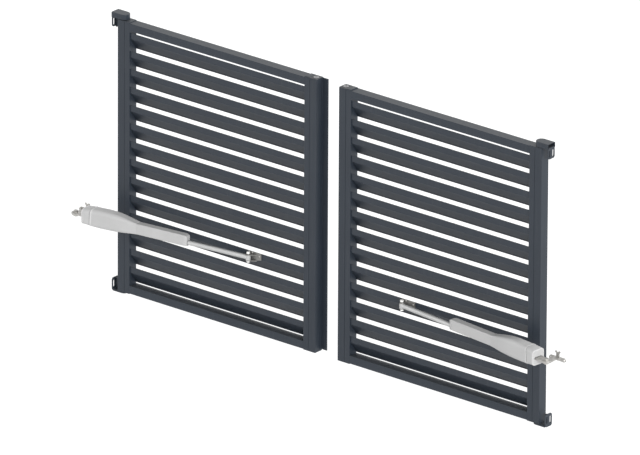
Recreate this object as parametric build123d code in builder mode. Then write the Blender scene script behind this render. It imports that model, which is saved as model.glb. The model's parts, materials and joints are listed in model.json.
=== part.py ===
from build123d import *
from math import acos, atan2, cos, degrees, hypot, radians, sin
import os

# Double swing gate with two louvred aluminium leaves and two ram openers, in millimetres.
# X runs along the closed gate, Y points away from the side that the leaves open to, Z is up.
# The origin is the centre of the wall face of the left lower hinge plate.

# Leaf
leaf_width = 1420.0
leaf_height = 1600.0
leaf_depth = 60.0
leaf_gap = 160.0
wall_gap = 44.0
swing_angle = 90.0

# Stile: an extruded tube of two chambers, with a shadow groove over the web between them
stile_width = 85.0
stile_wall = 2.5
stile_web = 5.0
stile_edge_radius = 1.5
groove_from_slats = 37.0
groove_width = 2.0
groove_depth = 2.0
cap_thickness = 3.0
cap_recess_margin = 9.0
cap_recess_depth = 1.0
cap_stub_depth = 22.0
cap_stub_clearance = 0.3

# Rails
rail_height = 46.0
rail_wall = 2.5

# Louvre slats: a Z-shaped extrusion
slat_pitch_nearest = 106.0
slat_thickness = 3.0
slat_front_leg = 35.0
slat_drop = 66.0
slat_lip = 4.5
slat_depth = 50.0
slat_setback = 7.0
slat_top_gap = 13.0
slat_bottom_gap = 7.0

# Stop strip on the left meeting stile
strip_reach = 38.0
strip_thickness = 6.0
strip_leg = 18.0
strip_leg_thickness = 2.5
strip_bottom_gap = 5.0

# Hinges
hinge_axis_inset = 25.0
hinge_pin_radius = 8.0
hinge_running_gap = 0.05
hinge_pin_engagement = 30.0
hinge_boss_radius = 19.0
hinge_plate_width = 56.0
hinge_plate_thickness = 6.0
hinge_plate_radius = 12.0
hinge_shelf_thickness = 7.0
lower_plate_above = 61.0
lower_shelf_gap = 6.0
upper_plate_below = 52.0
upper_shelf_gap = 7.0
thrust_ring_radius = 14.0
thrust_gap = 0.3
slot_width = 13.0
slot_length = 42.0
slot_side_offset = 15.5
lower_slot_above = 26.0
upper_slot_below = 22.0
cover_height = 30.0
cover_wall = 2.5
cover_fit = 0.3
cover_top_radius = 4.0
pin_head_radius = 12.0
pin_head_height = 8.0

# Opener: a ram that pivots on a wall bracket and pushes a bracket on the leaf
rear_pivot_outside = 171.0
rear_pivot_forward = 154.0
front_pivot_along = 954.0
front_pivot_forward = 16.0
rod_height = 447.0
rod_radius = 13.0
rod_running_gap = 0.1
rod_engagement = 46.0
eye_radius = 14.0
eye_thickness = 28.0
eye_reach = 14.0
eye_pin_radius = 6.0
eye_pin_clearance = 0.05
ram_clearance = 5.0

# Opener body: each station is a distance from the rear pivot, then the height of the
# section's centre above the rod, its width, its height and its corner radius
cap_end_station = (63.0, 18.0, 86.0, 87.0, 20.0)
body_stations = (
    cap_end_station,
    (100.0, 20.0, 84.0, 96.0, 21.0),
    (150.0, 19.5, 82.0, 104.0, 24.0),
    (270.0, 20.5, 80.0, 102.0, 24.0),
    (335.0, 18.0, 69.0, 88.0, 19.0),
    (388.0, 15.5, 52.0, 70.0, 9.0),
)
housing_end = 412.0
housing_lip = 1.0
cap_seam_station = 115.0
cap_seam_lean = 3.0
cap_seam_width = 3.0
cap_spigot_width = 79.0
cap_spigot_height = 94.0
cap_spigot_radius = 19.0
arm_width = 43.0
arm_height = 62.0
arm_centre_above = 14.0
arm_wall = 3.0
arm_edge_radius = 4.0
arm_insert = 12.0
nose_length = 24.0
nose_shoulder = 12.0
nose_shoulder_bevel = 1.5
nose_bevel = 6.0
ram_tunnel_radius = 15.0
lug_width = 50.0
lug_thickness = 8.0
lug_above = 15.0
lug_pocket_depth = 16.0
lug_pocket_clearance = 3.0

# Opener brackets
leaf_plate_thickness = 4.0
leaf_plate_before = 14.0
leaf_plate_corner = 20.0
leaf_plate_after = 77.0
leaf_plate_tail_low = -6.0
leaf_plate_top = 32.0
left_flange_run = 46.0
right_flange_run = 15.0
bracket_flange_thickness = 5.0
bracket_nose_radius = 13.0
bracket_gap = 0.3
bracket_pin_head_radius = 8.5
bracket_pin_head_height = 9.0
wall_face_forward = 52.0
wall_flange_thickness = 6.0
wall_arm_radius = 22.0
wall_arm_root_width = 30.0
wall_arm_thickness = 6.0
upright_width = 20.0
upright_head_width = 33.0
upright_head_height = 10.0
upright_top = 41.0
upright_notch = 6.0
base_half_width = 56.0
base_bottom = -13.0
base_top = 9.0
wall_hole_offset = 45.0
wall_hole_radius = 5.5
pivot_bolt_radius = 8.0
pivot_washer_radius = 14.0
pivot_washer_thickness = 3.0
pivot_head_radius = 12.5
pivot_head_height = 8.0

# Heights and places that follow from the sizes above
lower_plate_below = lower_shelf_gap + hinge_shelf_thickness
leaf_bottom = -(lower_plate_above - lower_plate_below) / 2
leaf_top = leaf_bottom + leaf_height
wall_opening = 2 * wall_gap + 2 * leaf_width + leaf_gap
centre_plane = Plane.YZ.offset(wall_opening / 2)
front_face = -leaf_depth / 2
hinge_x = wall_gap + hinge_axis_inset
hinge_stile_x = wall_gap + stile_width / 2
meeting_stile_x = wall_gap + leaf_width - stile_width / 2
rail_start = wall_gap + stile_width
rail_length = leaf_width - 2 * stile_width

# Slats: as many as fit at about the wanted pitch, spread evenly between the rails
slat_front = front_face + slat_setback
slat_height = slat_front_leg + slat_drop + slat_lip
slat_space = leaf_height - 2 * rail_height - slat_top_gap - slat_bottom_gap - slat_height
slat_steps = round(slat_space / slat_pitch_nearest)
slat_pitch = slat_space / slat_steps

# Opener linkage: reach of the ram from its rear pivot, leaf closed and leaf open
rear_x = wall_gap - rear_pivot_outside
rear_y = front_face - rear_pivot_forward
front_x = wall_gap + front_pivot_along
front_y = front_face - front_pivot_forward
swing = radians(swing_angle)
open_x = hinge_x + (front_x - hinge_x) * cos(swing) + front_y * sin(swing)
open_y = -(front_x - hinge_x) * sin(swing) + front_y * cos(swing)
closed_reach = hypot(front_x - rear_x, front_y - rear_y)
open_reach = hypot(open_x - rear_x, open_y - rear_y)
stroke = closed_reach - open_reach
ram_angle = degrees(atan2(front_y - rear_y, front_x - rear_x))
ram_swivel = ram_angle - degrees(atan2(open_y - rear_y, open_x - rear_x))
rod_z = leaf_bottom + rod_height
nose_end = open_reach - eye_reach - ram_clearance
arm_end = nose_end - nose_length
lug_bottom = lug_above - lug_thickness / 2

ram_plane = Plane(
    origin=(rear_x, rear_y, rod_z),
    x_dir=(cos(radians(ram_angle)), sin(radians(ram_angle)), 0),
    z_dir=(0, 0, 1),
)


def across(distance, above=0.0):
    """Plane across the ram at a distance from its rear pivot, X to the ram's left, Y up."""
    origin = ram_plane.from_local_coords(Vector(distance, 0, above))
    return Plane(origin=origin, x_dir=ram_plane.y_dir, z_dir=ram_plane.x_dir)


def level(above):
    """Level plane of the ram at a height above the rod's axis."""
    return ram_plane.offset(above)


def seam(offset):
    """Leaning plane of the seam between rear cap and housing, moved towards the housing."""
    lean = radians(cap_seam_lean)
    normal = ram_plane.x_dir * cos(lean) - ram_plane.z_dir * sin(lean)
    middle = across(cap_seam_station, body_stations[2][1]).origin
    return Plane(origin=middle, x_dir=ram_plane.y_dir, z_dir=normal).offset(offset)


def make_stile(middle_x, slat_side):
    """Tube of two chambers; slat_side is +1 where the slats lie towards +X, else -1."""
    groove_x = middle_x + slat_side * (stile_width / 2 - groove_from_slats)
    near = middle_x + slat_side * (stile_width / 2 - stile_wall)
    far = middle_x - slat_side * (stile_width / 2 - stile_wall)
    web = slat_side * stile_web / 2
    with BuildPart() as stile:
        with BuildSketch(Plane.XY.offset(leaf_bottom)):
            with Locations((middle_x, 0)):
                RectangleRounded(stile_width, leaf_depth, stile_edge_radius)
            with Locations((groove_x, leaf_depth / 2), (groove_x, -leaf_depth / 2)):
                Rectangle(groove_width, 2 * groove_depth, mode=Mode.SUBTRACT)
            for edge, inner in ((near, groove_x + web), (far, groove_x - web)):
                with Locations(((edge + inner) / 2, 0)):
                    Rectangle(abs(edge - inner), leaf_depth - 2 * stile_wall, mode=Mode.SUBTRACT)
        extrude(amount=leaf_height)
    return stile


def make_bearing_plugs():
    """Top and bottom plugs of the hinge stile, each with a boss bored for a hinge pin."""
    with BuildPart() as plugs:
        for base_z in (leaf_top, leaf_bottom - cap_thickness):
            with BuildSketch(Plane.XY.offset(base_z)):
                with Locations((hinge_stile_x, 0)):
                    RectangleRounded(stile_width, leaf_depth, stile_edge_radius)
            extrude(amount=cap_thickness)
        for boss_z in (leaf_top - hinge_pin_engagement, leaf_bottom):
            with BuildSketch(Plane.XY.offset(boss_z)):
                with Locations((hinge_x, 0)):
                    Circle(hinge_boss_radius)
            extrude(amount=hinge_pin_engagement)
        bore_length = 2 * (hinge_pin_engagement + cap_thickness)
        with Locations((hinge_x, 0, leaf_top), (hinge_x, 0, leaf_bottom)):
            Cylinder(hinge_pin_radius + hinge_running_gap, bore_length, mode=Mode.SUBTRACT)
    return plugs


def make_stile_caps(middle_x, slat_side):
    """Caps of the meeting stile, each with a shallow recess and a stub in each chamber."""
    stub_gap = stile_wall + cap_stub_clearance
    groove_x = middle_x + slat_side * (stile_width / 2 - groove_from_slats)
    near = middle_x + slat_side * (stile_width / 2 - stub_gap)
    far = middle_x - slat_side * (stile_width / 2 - stub_gap)
    web = slat_side * (stile_web / 2 + cap_stub_clearance)
    with BuildPart() as caps:
        for base_z, stub_z, recess_z in (
            (leaf_top, leaf_top - cap_stub_depth, leaf_top + cap_thickness - cap_recess_depth),
            (leaf_bottom - cap_thickness, leaf_bottom, leaf_bottom - cap_thickness),
        ):
            with BuildSketch(Plane.XY.offset(base_z)):
                with Locations((middle_x, 0)):
                    RectangleRounded(stile_width, leaf_depth, stile_edge_radius)
            extrude(amount=cap_thickness)
            with BuildSketch(Plane.XY.offset(recess_z)):
                with Locations((middle_x, 0)):
                    RectangleRounded(
                        stile_width - 2 * cap_recess_margin,
                        leaf_depth - 2 * cap_recess_margin,
                        cap_recess_margin / 2,
                    )
            extrude(amount=cap_recess_depth, mode=Mode.SUBTRACT)
            with BuildSketch(Plane.XY.offset(stub_z)):
                for edge, inner in ((near, groove_x + web), (far, groove_x - web)):
                    with Locations(((edge + inner) / 2, 0)):
                        Rectangle(abs(edge - inner), leaf_depth - 2 * stub_gap)
            extrude(amount=cap_stub_depth)
    return caps


def make_rail(base_z):
    """Hollow rail between the stiles."""
    with BuildPart() as rail:
        with BuildSketch(Plane.YZ.offset(rail_start)):
            with Locations((0, base_z + rail_height / 2)):
                Rectangle(leaf_depth, rail_height)
                Rectangle(leaf_depth - 2 * rail_wall, rail_height - 2 * rail_wall, mode=Mode.SUBTRACT)
        extrude(amount=rail_length)
    return rail


def make_slats():
    """Louvre slats: an upright front leg, a web that falls to the back, and a short lip."""
    first_top = leaf_top - rail_height - slat_top_gap
    with BuildPart() as slats:
        for number in range(slat_steps + 1):
            top = first_top - number * slat_pitch
            knee = top - slat_front_leg
            back = slat_front + slat_depth
            with BuildSketch(Plane.YZ.offset(rail_start)):
                with BuildLine() as outline:
                    Polyline(
                        (slat_front, top),
                        (slat_front, knee),
                        (back, knee - slat_drop),
                        (back, knee - slat_drop - slat_lip),
                    )
                    offset(amount=slat_thickness, side=Side.LEFT, kind=Kind.INTERSECTION)
                make_face()
            extrude(amount=rail_length)
    return slats


def make_stop_strip():
    """Strip that covers the back of the gap between the leaves, on a leg along the stile."""
    edge = wall_gap + leaf_width
    back = leaf_depth / 2
    with BuildPart() as strip:
        with BuildSketch(Plane.XY.offset(leaf_bottom + strip_bottom_gap)):
            with BuildLine():
                Polyline(
                    (edge, back),
                    (edge + strip_reach, back),
                    (edge + strip_reach, back - strip_thickness),
                    (edge + strip_leg_thickness, back - strip_thickness),
                    (edge + strip_leg_thickness, back - strip_leg),
                    (edge, back - strip_leg),
                    close=True,
                )
            make_face()
        extrude(amount=leaf_height - strip_bottom_gap)
    return strip


def make_shelf_outline(start, width):
    """Outline of a hinge shelf from near the wall to a half-round end about the pin."""
    with Locations(((start + hinge_x) / 2, 0)):
        Rectangle(hinge_x - start, width)
    with Locations((hinge_x, 0)):
        Circle(width / 2)


def make_plate_outline(low, high, slot_z):
    """Hinge plate seen along X, with rounded corners and two upright slots."""
    with Locations((0, (low + high) / 2)):
        RectangleRounded(hinge_plate_width, high - low, hinge_plate_radius)
    with Locations((-slot_side_offset, slot_z), (slot_side_offset, slot_z)):
        SlotOverall(slot_length, slot_width, rotation=90, mode=Mode.SUBTRACT)


def make_lower_hinge():
    """Wall plate, shelf under the stile, thrust ring and pin, welded together."""
    low = leaf_bottom - lower_plate_below
    shelf_top = leaf_bottom - lower_shelf_gap
    ring_height = lower_shelf_gap - cap_thickness - thrust_gap
    with BuildPart() as hinge:
        with BuildSketch(Plane.YZ):
            make_plate_outline(low, leaf_bottom + lower_plate_above, leaf_bottom + lower_slot_above)
        extrude(amount=hinge_plate_thickness)
        with BuildSketch(Plane.XY.offset(low)):
            make_shelf_outline(hinge_plate_thickness, hinge_plate_width)
        extrude(amount=hinge_shelf_thickness)
        with BuildSketch(Plane.XY.offset(shelf_top)):
            with Locations((hinge_x, 0)):
                Circle(thrust_ring_radius)
        extrude(amount=ring_height)
        with BuildSketch(Plane.XY.offset(low)):
            with Locations((hinge_x, 0)):
                Circle(hinge_pin_radius)
        extrude(amount=lower_plate_below + hinge_pin_engagement - thrust_gap)
    return hinge


def make_upper_hinge():
    """Wall plate, shelf over the stile, and headed pin down into the stile's plug."""
    low = leaf_top - upper_plate_below
    shelf_bottom = leaf_top + upper_shelf_gap
    high = shelf_bottom + hinge_shelf_thickness
    pin_end = leaf_top - hinge_pin_engagement + thrust_gap
    with BuildPart() as hinge:
        with BuildSketch(Plane.YZ):
            make_plate_outline(low, high, leaf_top - upper_slot_below)
        extrude(amount=hinge_plate_thickness)
        with BuildSketch(Plane.XY.offset(shelf_bottom)):
            make_shelf_outline(hinge_plate_thickness, hinge_plate_width)
        extrude(amount=hinge_shelf_thickness)
        for radius, start, end in (
            (hinge_pin_radius, pin_end, high),
            (pin_head_radius, high, high + pin_head_height),
        ):
            with BuildSketch(Plane.XY.offset(start)):
                with Locations((hinge_x, 0)):
                    Circle(radius)
            extrude(amount=end - start)
    return hinge


def make_hinge_cover():
    """Shell over the upper shelf, open below and at its wall end."""
    base = leaf_top + upper_shelf_gap
    inner_width = hinge_plate_width + 2 * cover_fit
    with BuildPart() as cover:
        with BuildSketch(Plane.XY.offset(base)):
            make_shelf_outline(0, inner_width + 2 * cover_wall)
        extrude(amount=cover_height)
        rim = cover.faces().sort_by(Axis.Z)[-1].edges()
        fillet(rim.filter_by_position(Axis.X, cover_wall, hinge_x + inner_width), cover_top_radius)
        with BuildSketch(Plane.XY.offset(base)):
            make_shelf_outline(0, inner_width)
        extrude(amount=cover_height - cover_wall, mode=Mode.SUBTRACT)
    return cover


def make_wall_bracket():
    """Flange bolted to the wall's front face, and the round-ended arm that carries the ram."""
    wall_y = front_face - wall_face_forward
    arm_bottom = rod_z + lug_bottom - bracket_gap - wall_arm_thickness
    arm_root = wall_y - wall_flange_thickness
    base_middle = (base_bottom + base_top) / 2
    wall_plane = Plane(origin=(rear_x, wall_y, rod_z), x_dir=(1, 0, 0), z_dir=(0, -1, 0))
    with BuildPart() as bracket:
        with BuildSketch(wall_plane):
            with Locations((0, base_middle)):
                SlotOverall(2 * base_half_width, base_top - base_bottom)
            with Locations((0, (base_bottom + upright_top) / 2)):
                Rectangle(upright_width, upright_top - base_bottom)
            with Locations((0, upright_top - upright_head_height / 2)):
                Rectangle(upright_head_width, upright_head_height)
            with Locations((0, upright_top)):
                Circle(upright_notch, mode=Mode.SUBTRACT)
            with Locations((-wall_hole_offset, base_middle), (wall_hole_offset, base_middle)):
                Circle(wall_hole_radius, mode=Mode.SUBTRACT)
        extrude(amount=wall_flange_thickness)
        with BuildSketch(Plane.XY.offset(arm_bottom)):
            with BuildLine():
                Polyline(
                    (rear_x - wall_arm_radius, rear_y),
                    (rear_x + wall_arm_radius, rear_y),
                    (rear_x + wall_arm_root_width / 2, arm_root),
                    (rear_x - wall_arm_root_width / 2, arm_root),
                    close=True,
                )
            make_face()
            with Locations((rear_x, rear_y)):
                Circle(wall_arm_radius)
                Circle(pivot_bolt_radius + hinge_running_gap, mode=Mode.SUBTRACT)
        extrude(amount=wall_arm_thickness)
    return bracket


def make_pivot_bolt():
    """Bolt through the wall bracket and the ram's rear lug, with washer, head and nut."""
    arm_bottom = lug_bottom - bracket_gap - wall_arm_thickness
    lug_top = lug_bottom + lug_thickness + bracket_gap
    washer_top = lug_top + pivot_washer_thickness
    with BuildPart() as bolt:
        with BuildSketch(level(arm_bottom)):
            Circle(pivot_bolt_radius)
        extrude(amount=lug_top - arm_bottom)
        with BuildSketch(level(lug_top)):
            Circle(pivot_washer_radius)
        extrude(amount=pivot_washer_thickness)
        for head_bottom in (arm_bottom - pivot_head_height, washer_top):
            with BuildSketch(level(head_bottom)):
                RegularPolygon(pivot_head_radius, 6)
            extrude(amount=pivot_head_height)
    return bolt


def make_rear_lug():
    """Flat bar from the rear cap's pocket to a round end bored for the pivot bolt."""
    reach = cap_end_station[0] + lug_pocket_depth
    with BuildPart() as lug:
        with BuildSketch(level(lug_bottom)):
            with Locations((reach / 2, 0)):
                Rectangle(reach, lug_width)
            Circle(lug_width / 2)
            Circle(pivot_bolt_radius + hinge_running_gap, mode=Mode.SUBTRACT)
        extrude(amount=lug_thickness)
    return lug


def make_section(station):
    """Rounded section of the opener's body at a station."""
    distance, above, width, height, radius = station
    with BuildSketch(across(distance, above)) as section:
        RectangleRounded(width, height, radius)
    return section.sketch


def make_body():
    """Whole body of the opener behind its arm: one smooth loft from the rear end to the arm."""
    mouth = (
        housing_end,
        arm_centre_above,
        arm_width + 2 * housing_lip,
        arm_height + 2 * housing_lip,
        arm_edge_radius + housing_lip,
    )
    sections = [make_section(station) for station in (*body_stations, mouth)]
    return loft([section.face() for section in sections])


def make_rear_cap():
    """Rear cap of the body, up to the leaning seam, with a spigot and a pocket for the rear lug."""
    pocket_height = lug_thickness + 2 * lug_pocket_clearance
    with BuildPart() as cap:
        add(make_body())
        split(bisect_by=seam(-cap_seam_width / 2), keep=Keep.BOTTOM)
        with BuildSketch(seam(-cap_seam_width / 2)):
            RectangleRounded(cap_spigot_width, cap_spigot_height, cap_spigot_radius)
        extrude(amount=cap_seam_width)
        with BuildSketch(across(cap_end_station[0], lug_above)):
            RectangleRounded(lug_width + 2 * lug_pocket_clearance, pocket_height, pocket_height / 2 - 1)
        extrude(amount=lug_pocket_depth, mode=Mode.SUBTRACT)
    return cap


def make_motor_housing():
    """Motor housing that narrows to the arm, with the tunnel that the rod runs back into."""
    tunnel_start = nose_end - rod_engagement - stroke - ram_clearance
    with BuildPart() as housing:
        add(make_body())
        split(bisect_by=seam(cap_seam_width / 2), keep=Keep.TOP)
        with BuildSketch(across(housing_end, arm_centre_above)):
            RectangleRounded(arm_width, arm_height, arm_edge_radius)
        extrude(amount=-arm_insert, mode=Mode.SUBTRACT)
        with BuildSketch(across(tunnel_start)):
            Circle(ram_tunnel_radius)
        extrude(amount=housing_end - tunnel_start, mode=Mode.SUBTRACT)
    return housing


def make_ram_arm():
    """Tube that guides the rod."""
    start = housing_end - arm_insert
    with BuildPart() as arm:
        with BuildSketch(across(start, arm_centre_above)):
            RectangleRounded(arm_width, arm_height, arm_edge_radius)
            RectangleRounded(
                arm_width - 2 * arm_wall,
                arm_height - 2 * arm_wall,
                arm_edge_radius - arm_wall,
                mode=Mode.SUBTRACT,
            )
        extrude(amount=arm_end - start)
    return arm


def make_ram_nose():
    """Rounded nose that closes the arm round the rod, flat below and narrower at its end."""
    with BuildPart() as nose:
        for distance, bevel in (
            (arm_end, 0.0),
            (nose_end - nose_shoulder, nose_shoulder_bevel),
            (nose_end, nose_bevel),
        ):
            with BuildSketch(across(distance, arm_centre_above - bevel / 2)):
                RectangleRounded(arm_width - 2 * bevel, arm_height - bevel, arm_edge_radius)
        loft()
        with BuildSketch(across(arm_end)):
            Circle(rod_radius + rod_running_gap)
        extrude(amount=nose_length, mode=Mode.SUBTRACT)
    return nose


def make_rod():
    """Round rod, drawn out as it is with the leaf closed."""
    start = nose_end - rod_engagement
    with BuildPart() as rod:
        with BuildSketch(across(start)):
            Circle(rod_radius)
        extrude(amount=closed_reach - eye_reach - start)
    return rod


def make_rod_eye():
    """Upright barrel on the end of the rod, joined to it by a neck, bored for its pin."""
    with BuildPart() as eye:
        with BuildSketch(across(closed_reach - eye_reach)):
            Circle(rod_radius)
        extrude(amount=eye_reach)
        with BuildSketch(level(-eye_thickness / 2)):
            with Locations((closed_reach, 0)):
                Circle(eye_radius)
        extrude(amount=eye_thickness)
        with BuildSketch(level(-eye_thickness / 2)):
            with Locations((closed_reach, 0)):
                Circle(eye_pin_radius + eye_pin_clearance)
        extrude(amount=eye_thickness, mode=Mode.SUBTRACT)
    return eye


def make_eye_pin():
    """Part of the eye's pin that stays in the eye when it leaves the bracket's flanges."""
    with BuildPart() as pin:
        with BuildSketch(level(-eye_thickness / 2)):
            with Locations((closed_reach, 0)):
                Circle(eye_pin_radius)
        extrude(amount=eye_thickness)
    return pin


def make_leaf_bracket(pin_x, flange_run):
    """Plate on the slat's front leg, with a flange and a headed pin above and below the eye."""
    plate_front = slat_front - leaf_plate_thickness
    upper = rod_z + eye_thickness / 2 + bracket_gap
    lower = rod_z - eye_thickness / 2 - bracket_gap - bracket_flange_thickness
    rise = plate_front - front_y
    touch = atan2(rise, flange_run) - acos(bracket_nose_radius / hypot(flange_run, rise))
    plate_plane = Plane(origin=(pin_x, slat_front, rod_z), x_dir=(1, 0, 0), z_dir=(0, -1, 0))
    with BuildPart() as bracket:
        with BuildSketch(plate_plane):
            with BuildLine():
                Polyline(
                    (-leaf_plate_before, lower - rod_z),
                    (leaf_plate_corner, lower - rod_z),
                    (leaf_plate_after, leaf_plate_tail_low),
                    (leaf_plate_after, leaf_plate_top),
                    (-leaf_plate_before, leaf_plate_top),
                    close=True,
                )
            make_face()
        extrude(amount=leaf_plate_thickness)
        for flange_z in (lower, upper):
            with BuildSketch(Plane.XY.offset(flange_z)):
                with Locations((pin_x, front_y)):
                    Circle(bracket_nose_radius)
                with BuildLine():
                    Polyline(
                        (pin_x - bracket_nose_radius, front_y),
                        (pin_x + bracket_nose_radius * cos(touch), front_y + bracket_nose_radius * sin(touch)),
                        (pin_x + flange_run, plate_front),
                        (pin_x - bracket_nose_radius, plate_front),
                        close=True,
                    )
                make_face()
            extrude(amount=bracket_flange_thickness)
        for head_z in (lower - bracket_pin_head_height, upper + bracket_flange_thickness):
            with BuildSketch(Plane.XY.offset(head_z)):
                with Locations((pin_x, front_y)):
                    Circle(bracket_pin_head_radius)
            extrude(amount=bracket_pin_head_height)
    return bracket


def save(name, piece, side="left"):
    """Write one node; the right side is the left side mirrored about the gate's middle."""
    if side == "right":
        with BuildPart() as mirrored:
            mirror(piece.part, about=centre_plane)
        piece = mirrored
    piece.part.label = name
    export_step(piece.part, f"parts/{name}.step")


def main():
    os.makedirs("parts", exist_ok=True)
    pieces = {
        "hinge_stile": make_stile(hinge_stile_x, 1),
        "meeting_stile": make_stile(meeting_stile_x, -1),
        "hinge_stile_plugs": make_bearing_plugs(),
        "meeting_stile_caps": make_stile_caps(meeting_stile_x, -1),
        "top_rail": make_rail(leaf_top - rail_height),
        "bottom_rail": make_rail(leaf_bottom),
        "louvre_slats": make_slats(),
        "upper_hinge": make_upper_hinge(),
        "upper_hinge_cover": make_hinge_cover(),
        "lower_hinge": make_lower_hinge(),
        "opener_wall_bracket": make_wall_bracket(),
        "opener_pivot_bolt": make_pivot_bolt(),
        "opener_rear_lug": make_rear_lug(),
        "opener_rear_cap": make_rear_cap(),
        "opener_motor_housing": make_motor_housing(),
        "opener_arm": make_ram_arm(),
        "opener_nose": make_ram_nose(),
        "opener_rod": make_rod(),
        "opener_rod_eye": make_rod_eye(),
        "opener_eye_pin": make_eye_pin(),
    }
    for side in ("left", "right"):
        for name, piece in pieces.items():
            save(f"{side}_{name}", piece, side)
    save("left_stop_strip", make_stop_strip())
    save("left_opener_leaf_bracket", make_leaf_bracket(front_x, left_flange_run))
    save("right_opener_leaf_bracket", make_leaf_bracket(wall_opening - front_x, right_flange_run))
    print(f"opening between walls {wall_opening:.1f}")
    print(f"leaf bottom {leaf_bottom:.1f} top {leaf_top:.1f} hinge x {hinge_x:.1f}")
    print(f"rear pivot {rear_x:.2f} {rear_y:.2f} front pivot {front_x:.2f} {front_y:.2f} height {rod_z:.2f}")
    print(f"ram angle {ram_angle:.4f} swivel {ram_swivel:.4f} stroke {stroke:.4f}")


main()
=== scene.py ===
"""Dresses a double swing gate with two ram openers: finishes, fixings, floor, light and camera."""
import json
import math

import bmesh
import bpy
from bpy.props import FloatProperty, FloatVectorProperty, IntProperty, PointerProperty
from mathutils import Matrix, Vector


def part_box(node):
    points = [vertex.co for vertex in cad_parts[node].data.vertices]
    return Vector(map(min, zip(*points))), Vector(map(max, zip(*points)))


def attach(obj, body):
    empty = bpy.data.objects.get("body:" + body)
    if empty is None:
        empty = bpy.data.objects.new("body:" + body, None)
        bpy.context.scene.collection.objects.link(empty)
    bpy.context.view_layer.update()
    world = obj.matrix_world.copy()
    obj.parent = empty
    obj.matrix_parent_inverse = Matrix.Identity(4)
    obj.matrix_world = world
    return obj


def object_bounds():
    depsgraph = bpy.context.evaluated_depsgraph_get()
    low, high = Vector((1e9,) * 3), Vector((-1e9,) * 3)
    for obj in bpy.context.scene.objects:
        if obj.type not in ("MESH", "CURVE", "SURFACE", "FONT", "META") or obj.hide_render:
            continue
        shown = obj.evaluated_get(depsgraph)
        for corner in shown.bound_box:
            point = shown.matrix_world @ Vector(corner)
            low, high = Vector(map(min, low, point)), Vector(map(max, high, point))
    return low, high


bl_info = {
    "name": "Double Swing Gate",
    "version": (1, 1, 0),
    "blender": (4, 5, 0),
    "location": "3D View > Sidebar > Gate",
    "description": "Dresses the gate's frame with powder coat, steel, fixings, a floor and studio light",
    "category": "Object",
}

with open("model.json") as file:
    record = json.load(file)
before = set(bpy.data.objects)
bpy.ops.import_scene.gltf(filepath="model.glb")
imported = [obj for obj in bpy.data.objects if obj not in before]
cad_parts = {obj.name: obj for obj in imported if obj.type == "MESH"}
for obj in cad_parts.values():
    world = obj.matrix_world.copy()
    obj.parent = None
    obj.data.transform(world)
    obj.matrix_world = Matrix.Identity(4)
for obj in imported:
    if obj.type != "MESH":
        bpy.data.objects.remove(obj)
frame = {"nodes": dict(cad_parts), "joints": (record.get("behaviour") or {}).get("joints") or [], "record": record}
CAD_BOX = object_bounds()
NODES = frame["nodes"]
SIDES = ("left", "right")
LEVELS = ("lower", "upper")
JOINTS = {joint["name"]: joint for joint in frame["joints"]}
GATE_MIDDLE_X = (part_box("left_hinge_stile")[0].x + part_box("right_hinge_stile")[1].x) / 2


def ram_frame(side):
    """Matrix of the opener at rest: X along the rod from the rear pivot, Z up."""
    pivot = Vector(JOINTS[f"{side}_ram_swivel"]["pos_m"])
    along = -Vector(JOINTS[f"{side}_rod_slide"]["axis"]).normalized()
    up = Vector((0, 0, 1))
    across = up.cross(along)
    return Matrix((
        (along.x, across.x, up.x, pivot.x),
        (along.y, across.y, up.y, pivot.y),
        (along.z, across.z, up.z, pivot.z),
        (0, 0, 0, 1),
    ))


def ram_heading(side):
    """Angle of the opener's rod from the gate's length, for finishes that follow the rod."""
    along = -Vector(JOINTS[f"{side}_rod_slide"]["axis"])
    return math.atan2(along.y, along.x)


# Settings that a user would change
class GateFinish(bpy.types.PropertyGroup):
    coat_colour: FloatVectorProperty(
        name="Powder coat", description="Colour of the aluminium leaves",
        default=(0.0174, 0.0240, 0.0341), subtype="COLOR", min=0, max=1)
    coat_roughness: FloatProperty(
        name="Coat roughness", description="Roughness of the powder coat",
        default=0.42, subtype="FACTOR", min=0, max=1)
    coat_grain: FloatProperty(
        name="Coat grain", description="Size of the powder coat's orange peel",
        default=0.0011, unit="LENGTH", min=0.0001)
    cover_colour: FloatVectorProperty(
        name="Opener covers", description="Colour of the openers' moulded housings",
        default=(0.434, 0.434, 0.434), subtype="COLOR", min=0, max=1)
    arm_colour: FloatVectorProperty(
        name="Opener arm", description="Colour of the openers' painted arms",
        default=(0.424, 0.423, 0.422), subtype="COLOR", min=0, max=1)
    steel_colour: FloatVectorProperty(
        name="Plated steel", description="Colour of the zinc-plated brackets and bolts",
        default=(0.43, 0.422, 0.405), subtype="COLOR", min=0, max=1)
    rod_colour: FloatVectorProperty(
        name="Rod", description="Colour of the bright rod",
        default=(0.455, 0.457, 0.455), subtype="COLOR", min=0, max=1)
    gasket_colour: FloatVectorProperty(
        name="Gaskets", description="Colour of the seam gaskets, rod wipers and stile seals",
        default=(0.13, 0.13, 0.132), subtype="COLOR", min=0, max=1)
    nylon_colour: FloatVectorProperty(
        name="Pin caps", description="Colour of the nylon caps on the front pins",
        default=(0.82, 0.82, 0.80), subtype="COLOR", min=0, max=1)
    end_colour: FloatVectorProperty(
        name="Stile ends", description="Colour of the plastic end plates on the meeting stiles",
        default=(0.046, 0.049, 0.055), subtype="COLOR", min=0, max=1)
    plug_colour: FloatVectorProperty(
        name="Stile plugs", description="Colour of the round plugs in the meeting stiles' caps",
        default=(0.36, 0.36, 0.37), subtype="COLOR", min=0, max=1)
    dust_colour: FloatVectorProperty(
        name="Dust", description="Colour of the dust that settles on upward faces",
        default=(0.26, 0.255, 0.24), subtype="COLOR", min=0, max=1)


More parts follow.
